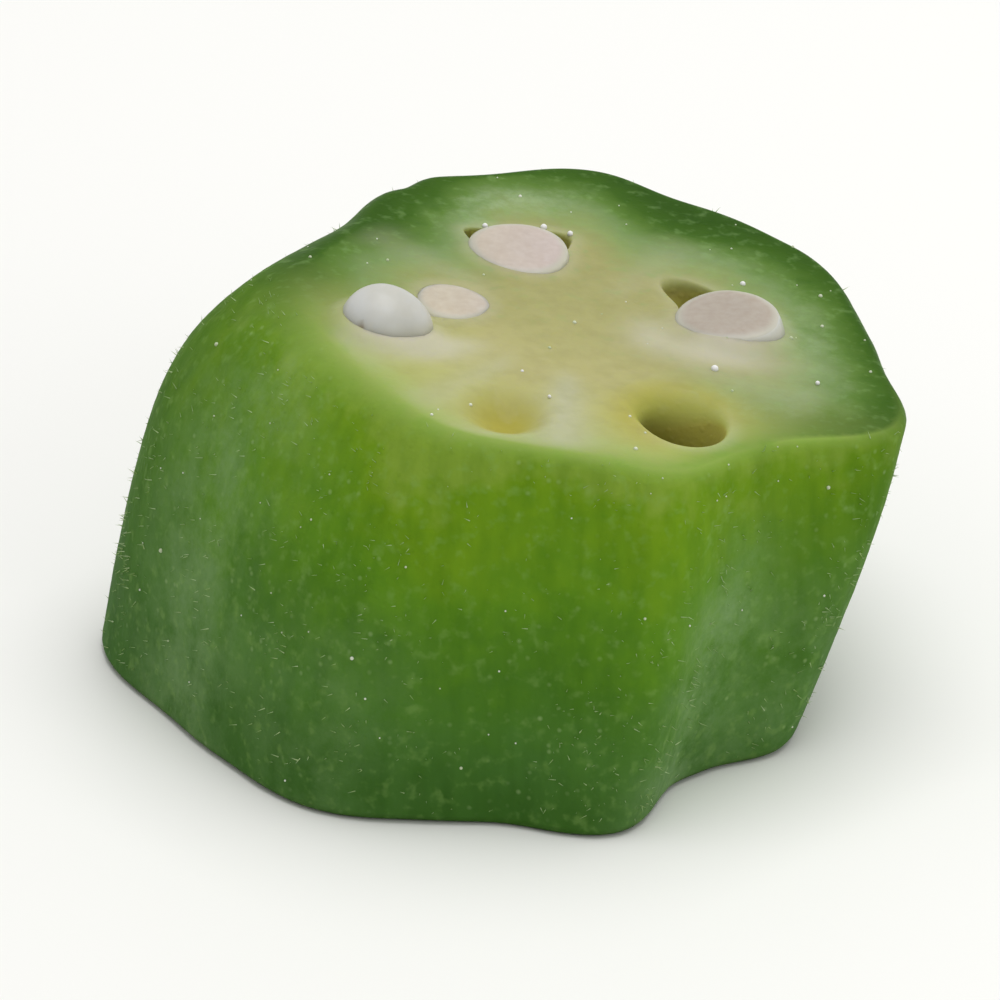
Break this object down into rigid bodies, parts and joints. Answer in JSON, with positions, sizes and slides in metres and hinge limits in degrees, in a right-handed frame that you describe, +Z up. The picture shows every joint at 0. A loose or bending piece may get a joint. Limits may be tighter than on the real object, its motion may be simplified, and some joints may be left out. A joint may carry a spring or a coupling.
{
  "type": "cut okra pod piece",
  "caption": "Short slice of a ribbed green okra pod, cut across at both ends, with pale pith, open seed chambers and round white seeds.",
  "frame": {"origin": "middle of the slice's box, on the surface that the lower cut rests on", "axes": "+Z up through the slice, -Y towards the viewer of the picture, +X to the picture's right; the upper cut falls towards +X"},
  "size_m": [0.0272, 0.0256, 0.015],
  "materials": {
    "pod_flesh": "moist green pod skin, with pale yellow-white pith at the cuts",
    "seed": "moist pearly white"
  },
  "bodies": {
    "root": {"pod": "pod_flesh", "seed_right_1": "seed", "seed_right_2": "seed", "seed_right_3": "seed", "seed_far_1": "seed", "seed_far_2": "seed", "seed_far_3": "seed", "seed_left_1": "seed", "seed_left_2": "seed", "seed_left_3": "seed", "seed_left_4": "seed", "seed_near_left_1": "seed", "seed_near_left_2": "seed", "seed_near_left_3": "seed", "seed_near_right_1": "seed", "seed_near_right_2": "seed"}
  },
  "joints": []
}
